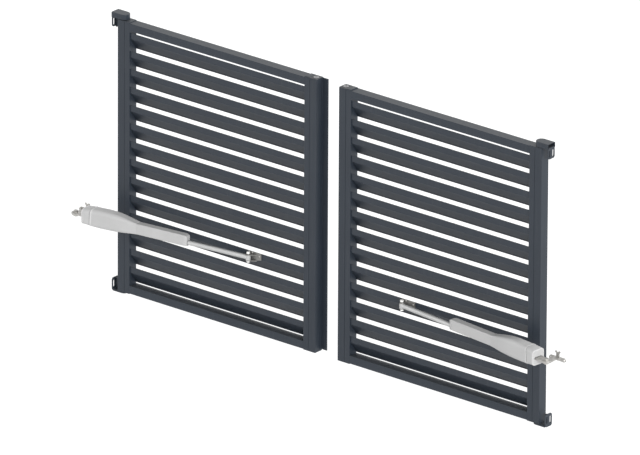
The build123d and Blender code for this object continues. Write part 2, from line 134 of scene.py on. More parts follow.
class GateFixings(bpy.types.PropertyGroup):
    bolt_across_flats: FloatProperty(
        name="Bolt head", description="Width across flats of the wall bolts' heads",
        default=0.017, unit="LENGTH", min=0.005)
    screw_head: FloatProperty(
        name="Screw head", description="Diameter of the button-head screws in the leaf brackets",
        default=0.0105, unit="LENGTH", min=0.004)
    collar_height: FloatProperty(
        name="Collar", description="Height of the raised collar beside the housing's seam",
        default=0.0015, unit="LENGTH", min=0.0002)
    weld_radius: FloatProperty(
        name="Weld", description="Radius of the hinges' fillet welds",
        default=0.0028, unit="LENGTH", min=0.0005)
    edge_radius: FloatProperty(
        name="Edge radius", description="Radius of the worn edges of rails, arms and leaf brackets",
        default=0.0006, unit="LENGTH", min=0.0001)
    round_steps: IntProperty(
        name="Round steps", description="Segments round each turned piece", default=40, min=12, max=96)


class GateStudio(bpy.types.PropertyGroup):
    azimuth: FloatProperty(
        name="Azimuth", description="Direction that the camera stands in, from the front",
        default=math.radians(39.63), subtype="ANGLE")
    elevation: FloatProperty(
        name="Elevation", description="Height of the camera above the horizon",
        default=math.radians(21.715), subtype="ANGLE")
    roll: FloatProperty(
        name="Roll", description="Turn of the camera about its own axis",
        default=math.radians(0.297), subtype="ANGLE")
    distance: FloatProperty(
        name="Distance", description="Distance of the camera from the gate", default=93.183, unit="LENGTH")
    scale: FloatProperty(
        name="Scale", description="Pixels of the picture for each metre of the gate", default=183.149)
    key_azimuth: FloatProperty(
        name="Key azimuth", description="Direction that the main light comes from",
        default=math.radians(61), subtype="ANGLE")
    key_elevation: FloatProperty(
        name="Key elevation", description="Height of the main light",
        default=math.radians(18), subtype="ANGLE")
    key_strength: FloatProperty(
        name="Key light", description="Strength of the main light", default=2.6, min=0)
    fill_strength: FloatProperty(
        name="Fill light", description="Strength of the light from the other side", default=0.5, min=0)
    horizon_strength: FloatProperty(
        name="Horizon", description="Strength of the surroundings near the horizon", default=0.8, min=0)
    zenith_strength: FloatProperty(
        name="Zenith", description="Strength of the surroundings overhead", default=0.6, min=0)
    shadow_share: FloatProperty(
        name="Shadow", description="How much of the floor's own shading shows through its white",
        default=0.25, subtype="FACTOR", min=0, max=1)
    floor_colour: FloatVectorProperty(
        name="Floor", description="Colour of the floor",
        default=(0.82, 0.82, 0.82), subtype="COLOR", min=0, max=1)


def settings():
    """The finish, fixing and studio settings of the scene."""
    scene = bpy.context.scene
    return scene.gate_finish, scene.gate_fixings, scene.gate_studio


# Finishes
RUN_DIRT = (0.24, 0.23, 0.21)
ZINC_SPOT = (0.36, 0.35, 0.33)


def new_material(name, colour, roughness, metallic=0.0, **sockets):
    """A Principled material; further keywords set sockets by name, with _ for a space."""
    material = bpy.data.materials.new(name)
    material.use_nodes = True
    shader = material.node_tree.nodes["Principled BSDF"]
    shader.inputs["Base Color"].default_value = (*colour, 1)
    shader.inputs["Roughness"].default_value = roughness
    shader.inputs["Metallic"].default_value = metallic
    for key, value in sockets.items():
        shader.inputs[key.replace("_", " ")].default_value = value
    return material, material.node_tree, shader


def noise(tree, scale, detail=3.0, roughness=0.5, stretch=(1, 1, 1), heading=0.0):
    """Noise in the piece's own metres, turned to a heading and then stretched."""
    place = tree.nodes.new("ShaderNodeTexCoord")
    turn = tree.nodes.new("ShaderNodeMapping")
    turn.inputs["Rotation"].default_value = (0, 0, -heading)
    tree.links.new(place.outputs["Object"], turn.inputs["Vector"])
    mapping = tree.nodes.new("ShaderNodeMapping")
    mapping.inputs["Scale"].default_value = stretch
    tree.links.new(turn.outputs["Vector"], mapping.inputs["Vector"])
    texture = tree.nodes.new("ShaderNodeTexNoise")
    texture.inputs["Scale"].default_value = scale
    texture.inputs["Detail"].default_value = detail
    texture.inputs["Roughness"].default_value = roughness
    tree.links.new(mapping.outputs["Vector"], texture.inputs["Vector"])
    return texture.outputs["Fac"]


def ranged(tree, value, low, high, from_low=0.3, from_high=0.7):
    """Carries a value from one range over to another and keeps it inside."""
    node = tree.nodes.new("ShaderNodeMapRange")
    node.inputs["From Min"].default_value = from_low
    node.inputs["From Max"].default_value = from_high
    node.inputs["To Min"].default_value = low
    node.inputs["To Max"].default_value = high
    tree.links.new(value, node.inputs["Value"])
    return node.outputs["Result"]


def times(tree, first, second):
    """Product of two values."""
    node = tree.nodes.new("ShaderNodeMath")
    node.operation = "MULTIPLY"
    tree.links.new(first, node.inputs[0])
    tree.links.new(second, node.inputs[1])
    return node.outputs["Value"]


def colour_run(tree, value, dark, light, from_low=0.3, from_high=0.7):
    """Colour that runs from dark to light with a noise value."""
    ramp = tree.nodes.new("ShaderNodeValToRGB")
    ramp.color_ramp.elements[0].position = from_low
    ramp.color_ramp.elements[0].color = (*dark, 1)
    ramp.color_ramp.elements[1].position = from_high
    ramp.color_ramp.elements[1].color = (*light, 1)
    tree.links.new(value, ramp.inputs["Fac"])
    return ramp.outputs["Color"]


def laid_over(tree, under, over, share):
    """Mixes a plain colour over a run of colour by a share."""
    mix = tree.nodes.new("ShaderNodeMix")
    mix.data_type = "RGBA"
    tree.links.new(share, mix.inputs["Factor"])
    tree.links.new(under, mix.inputs["A"])
    mix.inputs["B"].default_value = (*over, 1)
    return mix.outputs["Result"]


def facing_up(tree, most):
    """Share from nothing on upright faces to the most on level ones that face up."""
    geometry = tree.nodes.new("ShaderNodeNewGeometry")
    split = tree.nodes.new("ShaderNodeSeparateXYZ")
    tree.links.new(geometry.outputs["Normal"], split.inputs["Vector"])
    return ranged(tree, split.outputs["Z"], 0.0, most, 0.45, 1.0)


def bumped(tree, shader, value, distance, strength, under=None):
    """Bump from a value, laid over another bump if there is one under it."""
    node = tree.nodes.new("ShaderNodeBump")
    node.inputs["Strength"].default_value = strength
    node.inputs["Distance"].default_value = distance
    tree.links.new(value, node.inputs["Height"])
    if under is not None:
        tree.links.new(under, node.inputs["Normal"])
    tree.links.new(node.outputs["Normal"], shader.inputs["Normal"])
    return node.outputs["Normal"]


def tint(colour, factor):
    """A colour made darker or lighter by a factor."""
    return tuple(min(1.0, c * factor) for c in colour)


def settled_dust(tree, under, most, scale, least):
    """Lays dust over a colour on faces that look up, in patches between the least and the most."""
    patches = ranged(tree, noise(tree, scale, 5.0, 0.7), least, 1.0)
    return laid_over(tree, under, settings()[0].dust_colour, times(tree, facing_up(tree, most), patches))


def powder_coat():
    """Fine-textured dark powder coat on extruded aluminium, with rain streaks and settled dust."""
    finish = settings()[0]
    colour = finish.coat_colour
    roughness = finish.coat_roughness
    material, tree, shader = new_material("powder_coat", colour, roughness, Specular_IOR_Level=0.36)
    cloud = colour_run(tree, noise(tree, 2.6, 5.0, 0.62), tint(colour, 0.93), tint(colour, 1.07))
    streaks = ranged(tree, noise(tree, 70.0, 4.0, 0.62, stretch=(1, 1, 0.035)), 0.0, 0.07, 0.52, 0.78)
    streaked = laid_over(tree, cloud, tint(finish.dust_colour, 0.6), streaks)
    tree.links.new(settled_dust(tree, streaked, 0.13, 45.0, 0.45), shader.inputs["Base Color"])
    grain = noise(tree, 0.5 / finish.coat_grain, 2.0, 0.6)
    tree.links.new(ranged(tree, grain, roughness - 0.05, roughness + 0.07), shader.inputs["Roughness"])
    peel = bumped(tree, shader, noise(tree, 150.0, 2.0, 0.5), 0.00012, 0.35)
    bumped(tree, shader, grain, 0.00006, 0.6, under=peel)
    return material


def weathered(tree, shader, colour, patches, runs_scale, runs_share):
    """Gives a pale finish its colour: faint patches, dirt that ran down and a little dust."""
    cloud = colour_run(tree, patches, tint(colour, 0.955), tint(colour, 1.035))
    runs = noise(tree, runs_scale, 4.0, 0.6, stretch=(1, 1, 0.05))
    stained = laid_over(tree, cloud, RUN_DIRT, ranged(tree, runs, 0.0, runs_share, 0.55, 0.8))
    tree.links.new(settled_dust(tree, stained, 0.02, 60.0, 0.4), shader.inputs["Base Color"])


def moulded(name, colour, heading):
    """Moulded plastic with a fine spark-eroded texture, a little weathered."""
    material, tree, shader = new_material(name, colour, 0.45, Specular_IOR_Level=0.38)
    flow = noise(tree, 11.0, 4.0, 0.55, stretch=(0.4, 1, 1), heading=heading)
    weathered(tree, shader, colour, flow, 120.0, 0.11)
    grain = noise(tree, 1100.0, 2.0, 0.6)
    tree.links.new(ranged(tree, grain, 0.38, 0.54), shader.inputs["Roughness"])
    sink = bumped(tree, shader, noise(tree, 24.0, 2.0, 0.5), 0.0005, 0.22)
    bumped(tree, shader, grain, 0.00004, 0.6, under=sink)
    return material


def moulded_plastic(heading):
    """Light grey plastic of the openers' covers."""
    return moulded("moulded_plastic", settings()[0].cover_colour, heading)


def collar_plastic(heading):
    """Plastic paler than the covers, for the collar beside the housing's seam and the rim round the rear end: the
    paler colour is a painted highlight along them.
    """
    return moulded("collar_plastic", tint(settings()[0].cover_colour, 1.2), heading)


def painted_aluminium(heading):
    """Satin grey paint on the opener's extruded arm and cast nose, with faint die lines."""
    colour = settings()[0].arm_colour
    material, tree, shader = new_material("painted_aluminium", colour, 0.38, Specular_IOR_Level=0.4)
    weathered(tree, shader, colour, noise(tree, 8.0, 4.0, 0.6), 130.0, 0.1)
    lines = noise(tree, 420.0, 3.0, 0.6, stretch=(0.02, 1, 1), heading=heading)
    tree.links.new(ranged(tree, lines, 0.32, 0.46), shader.inputs["Roughness"])
    drawn = bumped(tree, shader, lines, 0.00006, 0.4)
    bumped(tree, shader, noise(tree, 900.0, 2.0, 0.5), 0.00003, 0.5, under=drawn)
    return material


def plated(name, colour, spot_colour):
    """Plated steel with the soft cloudy patches of the plating and a few dull spots."""
    material, tree, shader = new_material(name, colour, 0.4, metallic=0.8)
    cloud = noise(tree, 55.0, 5.0, 0.65)
    spangle = colour_run(tree, cloud, tint(colour, 0.78), tint(colour, 1.22))
    spots = noise(tree, 260.0, 3.0, 0.55)
    dulled = laid_over(tree, spangle, spot_colour, ranged(tree, spots, 0.0, 0.5, 0.6, 0.74))
    tree.links.new(dulled, shader.inputs["Base Color"])
    tree.links.new(ranged(tree, cloud, 0.32, 0.52), shader.inputs["Roughness"])
    bumped(tree, shader, noise(tree, 420.0, 3.0, 0.6), 0.00005, 0.6)
    return material


def zinc_plate():
    """Zinc of the wall brackets, bolts, screws and rear lugs."""
    return plated("zinc_plate", settings()[0].steel_colour, ZINC_SPOT)


def dull_zinc():
    """Zinc of the brackets on the leaves, about half as bright as the wall brackets': painted shade."""
    # Darker copy of the plated steel, standing in for the shade the leaf brackets sit in
    colour = tint(settings()[0].steel_colour, 0.52)
    return plated("dull_zinc", colour, tint(colour, 0.7))


def ground_rod(heading):
    """Satin chromed rod with faint rings from grinding and a trace of grease."""
    colour = settings()[0].rod_colour
    material, tree, shader = new_material("ground_rod", colour, 0.36, metallic=0.3)
    grease = noise(tree, 14.0, 4.0, 0.6, stretch=(0.5, 1, 1), heading=heading)
    film = colour_run(tree, grease, tint(colour, 0.94), tint(colour, 1.04))
    tree.links.new(film, shader.inputs["Base Color"])
    rings = noise(tree, 700.0, 1.0, 0.5, stretch=(1, 0.01, 0.01), heading=heading)
    tree.links.new(ranged(tree, rings, 0.33, 0.39), shader.inputs["Roughness"])
    bumped(tree, shader, rings, 0.000004, 0.3)
    return material


def mottled(name, colour, roughness, patches, colour_range, bump_depth, bump_strength, **sockets):
    """Small rubber or plastic piece whose colour and surface vary in the same patches."""
    material, tree, shader = new_material(name, colour, roughness, **sockets)
    mottle = noise(tree, *patches)
    run = colour_run(tree, mottle, tint(colour, colour_range[0]), tint(colour, colour_range[1]))
    tree.links.new(run, shader.inputs["Base Color"])
    bumped(tree, shader, mottle, bump_depth, bump_strength)
    return material


def gasket_rubber():
    """Dark rubber of the seam gasket, the rod wiper and the stile ends' seals."""
    return mottled("gasket_rubber", settings()[0].gasket_colour, 0.7, (300.0, 3.0, 0.6), (0.8, 1.3),
                   0.00005, 0.5, Specular_IOR_Level=0.3)


def cap_nylon():
    """Off-white nylon of the push-on caps over the front pins."""
    return mottled("cap_nylon", settings()[0].nylon_colour, 0.4, (180.0, 3.0, 0.6), (0.94, 1.03),
                   0.00004, 0.4)


def plug_nylon():
    """Grey nylon of the plugs in the meeting stiles' caps, with dust in its texture."""
    return mottled("plug_nylon", settings()[0].plug_colour, 0.5, (240.0, 4.0, 0.65), (0.8, 1.2),
                   0.00005, 0.5, Specular_IOR_Level=0.35)


def end_plastic():
    """Dark plastic of the end plates on the meeting stiles, grained and slightly faded."""
    colour = settings()[0].end_colour
    material, tree, shader = new_material("end_plastic", colour, 0.5, Specular_IOR_Level=0.36)
    fade = colour_run(tree, noise(tree, 40.0, 4.0, 0.6), tint(colour, 0.9), tint(colour, 1.12))
    tree.links.new(fade, shader.inputs["Base Color"])
    bumped(tree, shader, noise(tree, 800.0, 2.0, 0.6), 0.00004, 0.5)
    return material


# Materials by name, filled when the finishes are made
FINISHES = {}
SLOT_FINISH = {
    "gate_paint": "powder_coat", "gate_paint_steel": "powder_coat", "opener_cover": "moulded_plastic",
    "opener_body": "painted_aluminium", "plated_steel": "zinc_plate", "rod_steel": "ground_rod",
}
# Finishes whose grain follows an opener, so that each side has its own
FOLLOW_RAM = (moulded_plastic, collar_plastic, painted_aluminium, ground_rod)
SAME_BOTH_SIDES = (powder_coat, zinc_plate, dull_zinc, gasket_rubber, cap_nylon, end_plastic, plug_nylon)

# Nodes whose long sharp edges get a small worn radius, and those that get a moulding's larger one
EDGED = ("top_rail", "bottom_rail", "opener_leaf_bracket", "opener_arm")
MOULDED = ("opener_rear_cap",)
MOULDING_RADIUS_FACTOR = 4

# Sizes of the frame's solids that the fixings are fitted to, in metres
WALL_FLANGE_THICKNESS = 0.006
LEAF_PLATE_THICKNESS = 0.004
LEAF_PLATE_BEFORE_PIN = 0.014
HINGE_PLATE_THICKNESS = 0.006
HINGE_SHELF_THICKNESS = 0.007
HOUSING_MIDDLE_HEIGHT = 0.0195
SEAM_STATION = 0.115
SEAM_HALF_GAP = 0.0015
SEAM_LEAN = math.radians(3)
CAP_END_STATION = 0.063
NOSE_END_STATION = 0.74095
ROD_RADIUS = 0.013

# Mesh helpers
SHARP_FROM = math.radians(35)
CORNER_STEPS = 5
OUTLINE_STEPS = 120
PARALLEL_BELOW = 1e-12
END_SLACK = 1e-6


def object_from(bm, name, finish, body, smooth=True):
    """A finished piece from a bmesh, on a body, with its material."""
    mesh = bpy.data.meshes.new(name)
    bmesh.ops.recalc_face_normals(bm, faces=bm.faces)
    bm.to_mesh(mesh)
    bm.free()
    piece = bpy.data.objects.new(name, mesh)
    bpy.context.scene.collection.objects.link(piece)
    mesh.materials.append(FINISHES[finish])
    if smooth:
        mesh.shade_smooth()
        mesh.set_sharp_from_angle(angle=SHARP_FROM)
    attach(piece, body)
    return piece


def add_rings(bm, rings, closed_ends=True):
    """Skin over rings of equal count, closed at its ends or else from the last ring to the first."""
    made = [[bm.verts.new(point) for point in ring] for ring in rings]
    pairs = list(zip(made, made[1:]))
    if not closed_ends:
        pairs.append((made[-1], made[0]))
    for lower, upper in pairs:
        for step in range(len(lower)):
            after = (step + 1) % len(lower)
            bm.faces.new((lower[step], lower[after], upper[after], upper[step]))
    if closed_ends:
        bm.faces.new(list(reversed(made[0])))
        bm.faces.new(made[-1])


def circle(radius, height, steps, place):
    """Ring of points round the Z axis of a place."""
    points = []
    for step in range(steps):
        angle = 2 * math.pi * step / steps
        points.append(place @ Vector((radius * math.cos(angle), radius * math.sin(angle), height)))
    return points


def rounded_ring(outline, radius, inset, height):
    """Level ring round a rectangle (x, x, y, y) with rounded corners, drawn in by an inset."""
    left, right = sorted(outline[:2])
    front, rear = sorted(outline[2:])
    points = []
    for quarter, (x, y) in enumerate((
        (right - radius, rear - radius), (left + radius, rear - radius),
        (left + radius, front + radius), (right - radius, front + radius),
    )):
        for step in range(CORNER_STEPS + 1):
            angle = math.pi / 2 * (quarter + step / CORNER_STEPS)
            reach = radius - inset
            points.append(Vector((x + reach * math.cos(angle), y + reach * math.sin(angle), height)))
    return points


def seated(centre, axis):
    """Matrix whose Z points along an axis from a centre."""
    turn = Vector((0, 0, 1)).rotation_difference(Vector(axis)).to_matrix().to_4x4()
    return Matrix.Translation(Vector(centre)) @ turn


def add_turned(bm, profile, centre, axis, steps):
    """Closed solid of revolution from (radius, height) pairs about an axis through centre."""
    place = seated(centre, axis)
    add_rings(bm, [circle(radius, height, steps, place) for radius, height in profile])


def add_hex_head(bm, centre, axis, across_flats, height):
    """Hexagon bolt head with its chamfered crown and a washer face."""
    place = seated(centre, axis)
    corner = across_flats / math.sqrt(3)
    levels = ((corner * 0.86, 0.0), (corner, height * 0.06), (corner, height * 0.8), (corner * 0.86, height))
    add_rings(bm, [circle(radius, level, 6, place) for radius, level in levels])


def add_button_head(bm, centre, axis, diameter, steps):
    """Domed screw head with a hexagon socket."""
    place = seated(centre, axis)
    radius = diameter / 2
    dome = ((0.97, 0.0), (1.0, 0.1), (0.93, 0.3), (0.72, 0.5), (0.5, 0.56), (0.36, 0.57))
    rings = [circle(radius * reach, radius * rise, steps, place) for reach, rise in dome]
    socket = []
    for step in range(steps):
        angle = 2 * math.pi * step / steps
        nearest = (angle + math.pi / 6) % (math.pi / 3) - math.pi / 6
        reach = radius * 0.3 / math.cos(nearest)
        socket.append((reach * math.cos(angle), reach * math.sin(angle)))
    for depth in (0.54, 0.2):
        rings.append([place @ Vector((x, y, radius * depth)) for x, y in socket])
    add_rings(bm, rings)


def hinge_corner(side, level):
    """Wall face, way into the opening, height of the shelf's inner face and way off it, of a hinge."""
    low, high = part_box(f"{side}_{level}_hinge")
    wall, way = (low.x, 1) if side == "left" else (high.x, -1)
    if level == "lower":
        return wall, way, low.z + HINGE_SHELF_THICKNESS, 1
    return wall, way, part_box(f"{side}_upper_hinge_cover")[0].z, -1


def section_outline(node, place, station, lean=0.0):
    """Outline of a node where a plane across the opener cuts it, as distances by angle."""
    normal = place.to_3x3() @ Vector((math.cos(lean), 0, -math.sin(lean)))
    middle = Vector((station, 0, HOUSING_MIDDLE_HEIGHT))
    point = place @ middle
    bm = bmesh.new()
    bm.from_mesh(NODES[node].data)
    geometry = bm.verts[:] + bm.edges[:] + bm.faces[:]
    cut = bmesh.ops.bisect_plane(bm, geom=geometry, plane_co=point, plane_no=normal)["geom_cut"]
    back = place.inverted()
    pieces = []
    for edge in cut:
        if isinstance(edge, bmesh.types.BMEdge):
            ends = [back @ vertex.co - middle for vertex in edge.verts]
            pieces.append([(end.y, end.z / math.cos(lean)) for end in ends])
    bm.free()
    reaches = []
    for step in range(OUTLINE_STEPS):
        angle = 2 * math.pi * step / OUTLINE_STEPS
        ray = (math.cos(angle), math.sin(angle))
        furthest = 0.0
        for (ay, az), (by, bz) in pieces:
            ey, ez = by - ay, bz - az
            cross = ray[0] * ez - ray[1] * ey
            if abs(cross) < PARALLEL_BELOW:
                continue
            reach = (ay * ez - az * ey) / cross
            share = (ay * ray[1] - az * ray[0]) / cross
            if -END_SLACK <= share <= 1 + END_SLACK and reach > furthest:
                furthest = reach
        reaches.append(furthest)
    return reaches


def outline_ring(place, station, reaches, proud, lean=0.0):
    """Ring of points that stands proud of an outline at a station of the opener."""
    points = []
    for step, reach in enumerate(reaches):
        angle = 2 * math.pi * step / len(reaches)
        y = (reach + proud) * math.cos(angle)
        z = (reach + proud) * math.sin(angle)
        height = HOUSING_MIDDLE_HEIGHT + z * math.cos(lean)
        points.append(place @ Vector((station + z * math.sin(lean), y, height)))
    return points


# Operators
OUTWARD = (0, -1, 0)


class GATE_OT_finishes(bpy.types.Operator):
    """Makes the gate's finishes and gives them to the frame's pieces"""
    bl_idname = "gate.finishes"
    bl_label = "Apply Finishes"

    def execute(self, context):
        for make in SAME_BOTH_SIDES:
            FINISHES[make.__name__] = make()
        for make in FOLLOW_RAM:
            for side in SIDES:
                material = make(ram_heading(side))
                material.name = f"{make.__name__}_{side}"
                FINISHES[f"{make.__name__}_{side}"] = material
        for row in frame["record"]["subparts"]:
            finish = SLOT_FINISH[row["material_slot"]]
            if finish not in FINISHES:
                finish = f"{finish}_{row['node'].split('_')[0]}"
            # The leaf brackets take the darkened copy of the zinc, a painted shade
            if row["node"].endswith("leaf_bracket"):
                finish = "dull_zinc"
            node = NODES[row["node"]]
            node.data.materials.clear()
            node.data.materials.append(FINISHES[finish])
        return {"FINISHED"}


class GATE_OT_soft_edges(bpy.types.Operator):
    """Rounds the long edges of rails, leaf brackets, arms and rear caps a little"""
    bl_idname = "gate.soft_edges"
    bl_label = "Soften Edges"

    def execute(self, context):
        fixings = settings()[1]
        for side in SIDES:
            for part in EDGED:
                self.soften(NODES[f"{side}_{part}"], fixings.edge_radius)
            for part in MOULDED:
                self.soften(NODES[f"{side}_{part}"], MOULDING_RADIUS_FACTOR * fixings.edge_radius)
        return {"FINISHED"}

    def soften(self, node, radius):
        """Joins the node's facets and rounds its sharp edges."""
        weld = node.modifiers.new("weld", "WELD")
        weld.merge_threshold = 0.00001
        bevel = node.modifiers.new("soft_edge", "BEVEL")
        bevel.width = radius
        bevel.segments = 2
        bevel.limit_method = "ANGLE"
        bevel.angle_limit = math.radians(50)
        bevel.harden_normals = True


class GATE_OT_wall_bolts(bpy.types.Operator):
    """Bolts the opener brackets to the wall"""
    bl_idname = "gate.wall_bolts"
    bl_label = "Add Wall Bolts"

    def execute(self, context):
        fixings = settings()[1]
        washer_radius, washer_thickness, head_height = 0.010, 0.002, 0.0065
        washer = (
            (washer_radius - 0.0005, 0), (washer_radius, 0.0003),
            (washer_radius, washer_thickness - 0.0005), (washer_radius - 0.0005, washer_thickness),
        )
        for mount in frame["record"]["mounts"]:
            if mount["kind"] != "bolt_pattern":
                continue
            side = mount["name"].split("_")[0]
            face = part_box(f"{side}_opener_wall_bracket")[1].y
            half = mount["dims"]["spacing_x_mm"] / 2000
            bm = bmesh.new()
            for offset in (-half, half):
                x, z = mount["pos_m"][0], mount["pos_m"][2]
                seat = Vector((x + offset, face - WALL_FLANGE_THICKNESS, z))
                top = seat + Vector((0, -washer_thickness, 0))
                add_turned(bm, washer, seat, OUTWARD, fixings.round_steps)
                add_hex_head(bm, top, OUTWARD, fixings.bolt_across_flats, head_height)
            object_from(bm, f"{side}_bracket_wall_bolts", "zinc_plate", "wall_fixings")
        return {"FINISHED"}


class GATE_OT_leaf_screws(bpy.types.Operator):
    """Screws the opener's brackets to the slats"""
    bl_idname = "gate.leaf_screws"
    bl_label = "Add Leaf Bracket Screws"

    def execute(self, context):
        fixings = settings()[1]
        # Places along the plate from the pin and above the rod
        screw_places = ((0.065, 0.014), (0.014, 0.0262))
        steps = 36
        for side in SIDES:
            low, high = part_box(f"{side}_opener_leaf_bracket")
            pin_x = low.x + LEAF_PLATE_BEFORE_PIN
            rod_height = JOINTS[f"{side}_rod_slide"]["pos_m"][2]
            bm = bmesh.new()
            for along, above in screw_places:
                seat = Vector((pin_x + along, high.y - LEAF_PLATE_THICKNESS, rod_height + above))
                add_button_head(bm, seat, OUTWARD, fixings.screw_head, steps)
            object_from(bm, f"{side}_leaf_bracket_screws", "zinc_plate", f"{side}_leaf")
        return {"FINISHED"}


class GATE_OT_pin_caps(bpy.types.Operator):
    """Pushes nylon caps over both ends of the front pins"""
    bl_idname = "gate.pin_caps"
    bl_label = "Add Pin Caps"

    def execute(self, context):
        steps = settings()[1].round_steps
        inside, outside, wall, flange = 0.00855, 0.0092, 0.0008, 0.0097
        depth, flange_thickness, vent = 0.0094, 0.0012, 0.002
        outer_profile = (
            (inside, -depth), (flange, -depth), (flange, -depth + flange_thickness),
            (outside, -depth + flange_thickness + 0.0004), (outside, -0.0012),
            (outside - 0.0004, -0.0004), (outside - 0.0014, 0.0), (vent, 0.0),
        )
        inner_profile = ((vent, -wall * 0.9), (inside, -wall * 0.9))
        for side in SIDES:
            low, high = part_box(f"{side}_opener_leaf_bracket")
            eye_low, eye_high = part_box(f"{side}_opener_eye_pin")
            centre = (eye_low + eye_high) / 2
            bm = bmesh.new()
            for end, way in ((high.z, 1), (low.z, -1)):
                top = Vector((centre.x, centre.y, end + way * wall))
                place = seated(top, (0, 0, way))
                profile = outer_profile + inner_profile
                rings = [circle(radius, height, steps, place) for radius, height in profile]
                add_rings(bm, rings, closed_ends=False)
            object_from(bm, f"{side}_pin_caps", "cap_nylon", f"{side}_leaf")
        return {"FINISHED"}


class GATE_OT_stile_ends(bpy.types.Operator):
    """Closes each meeting stile with a dark end plate on a seal, and a round plug in its middle"""
    bl_idname = "gate.stile_ends"
    bl_label = "Add Stile Ends"

    def execute(self, context):
        steps = settings()[1].round_steps
        width, edge, seal, plate = 0.050, 0.001, 0.0007, 0.0018
        plate_end, filler_start, corner = width - 0.003, width + 0.0003, 0.003
        radius, bore, rise = 0.0145, 0.0095, 0.0014
        plug = (
            (radius, -0.0004), (radius, rise * 0.6), (radius - 0.0008, rise),
            (bore + 0.0006, rise), (bore, rise * 0.6), (bore, -0.0004),
        )
        well = ((bore, -0.0003), (bore, 0.0002), (0.001, 0.0002), (0.001, -0.0003))
        for side in SIDES:
            low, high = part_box(f"{side}_meeting_stile_caps")
            inner, outer, way = (high.x, low.x, -1) if side == "left" else (low.x, high.x, 1)
            front, rear = low.y + 2 * edge, high.y - 2 * edge
            for name, outline, thickness, finish in (
                ("stile_end_seal", (inner + way * edge, inner + way * width, low.y + edge, high.y - edge),
                 seal, "gasket_rubber"),
                ("stile_end_plate", (inner + way * 2 * edge, inner + way * plate_end, front, rear),
                 plate, "end_plastic"),
                ("stile_end_filler", (inner + way * filler_start, outer - way * 2 * edge, front, rear),
                 plate, "powder_coat"),
            ):
                bm = bmesh.new()
                levels = ((0.0, 0.0), (0.0, thickness * 0.7), (0.0004, thickness * 0.93), (0.0008, thickness))
                rings = [rounded_ring(outline, corner, inset, high.z + above) for inset, above in levels]
                add_rings(bm, rings)
                object_from(bm, f"{side}_{name}", finish, f"{side}_leaf")
            middle = Vector((inner + way * width / 2, (low.y + high.y) / 2, high.z + plate))
            place = seated(middle, (0, 0, 1))
            for name, profile, finish in (
                ("stile_plug", plug, "plug_nylon"), ("stile_plug_well", well, "gasket_rubber"),
            ):
                bm = bmesh.new()
                add_rings(bm, [circle(r, h, steps, place) for r, h in profile], closed_ends=False)
                object_from(bm, f"{side}_{name}", finish, f"{side}_leaf")
        return {"FINISHED"}


class GATE_OT_hinge_webs(bpy.types.Operator):
    """Stands a stiffening web between each hinge plate's two slots"""
    bl_idname = "gate.hinge_webs"
    bl_label = "Add Hinge Webs"

    def execute(self, context):
        reach, length, half, worn = 0.0245, 0.064, 0.003, 0.0006
        # The web's free end is level beside the plate and falls by the taper from there
        level_run, taper = 0.004, 0.003
        for side in SIDES:
            for level in LEVELS:
                wall, way, root, up = hinge_corner(side, level)
                back, front = wall + way * HINGE_PLATE_THICKNESS, wall + way * reach
                bm = bmesh.new()
                rings = []
                for y, inset in ((-half, worn), (-half + worn, 0.0), (half - worn, 0.0), (half, worn)):
                    end = root + up * (length - inset)
                    rings.append([
                        Vector((back, y, root)), Vector((front - way * inset, y, root)),
                        Vector((front - way * inset, y, root + up * (length - taper))),
                        Vector((back + way * level_run, y, end)), Vector((back, y, end)),
                    ])
                add_rings(bm, rings)
                object_from(bm, f"{side}_{level}_hinge_web", "powder_coat",
                            "wall_fixings", smooth=False)
        return {"FINISHED"}


class GATE_OT_housing_seam(bpy.types.Operator):
    """Lays the gasket in the housing's seam and raises the collar beside it, in paler plastic as a painted
    highlight
    """
    bl_idname = "gate.housing_seam"
    bl_label = "Add Housing Seam"

    def execute(self, context):
        height = settings()[1].collar_height
        before, after = SEAM_STATION - SEAM_HALF_GAP, SEAM_STATION + SEAM_HALF_GAP
        start, end = after + 0.0004, after + 0.0104
        for side in SIDES:
            place = ram_frame(side)
            housing = f"{side}_opener_motor_housing"
            edge = section_outline(housing, place, start, SEAM_LEAN)
            far = section_outline(housing, place, end, SEAM_LEAN)
            bm = bmesh.new()
            rings = []
            for station, proud in (
                (before + 0.0001, -0.0035), (before + 0.0001, -0.0013), (before + 0.0006, -0.0008),
                (after - 0.0006, -0.0008), (after - 0.0001, -0.0013), (after - 0.0001, -0.0035),
            ):
                rings.append(outline_ring(place, station, edge, proud, SEAM_LEAN))
            add_rings(bm, rings, closed_ends=False)
            object_from(bm, f"{side}_seam_gasket", "gasket_rubber", f"{side}_ram")
            bm = bmesh.new()
            rings = []
            for station, proud in (
                (start, -0.0012), (start, height - 0.0004), (start + 0.0005, height),
                (end - 0.0012, height), (end - 0.0003, height - 0.0005), (end, -0.0012),
            ):
                share = (station - start) / (end - start)
                reaches = [near * (1 - share) + away * share for near, away in zip(edge, far)]
                rings.append(outline_ring(place, station, reaches, proud, SEAM_LEAN))
            add_rings(bm, rings, closed_ends=False)
            # The collar takes the paler plastic, which paints the highlight along it
            object_from(bm, f"{side}_housing_collar", f"collar_plastic_{side}", f"{side}_ram")
        return {"FINISHED"}


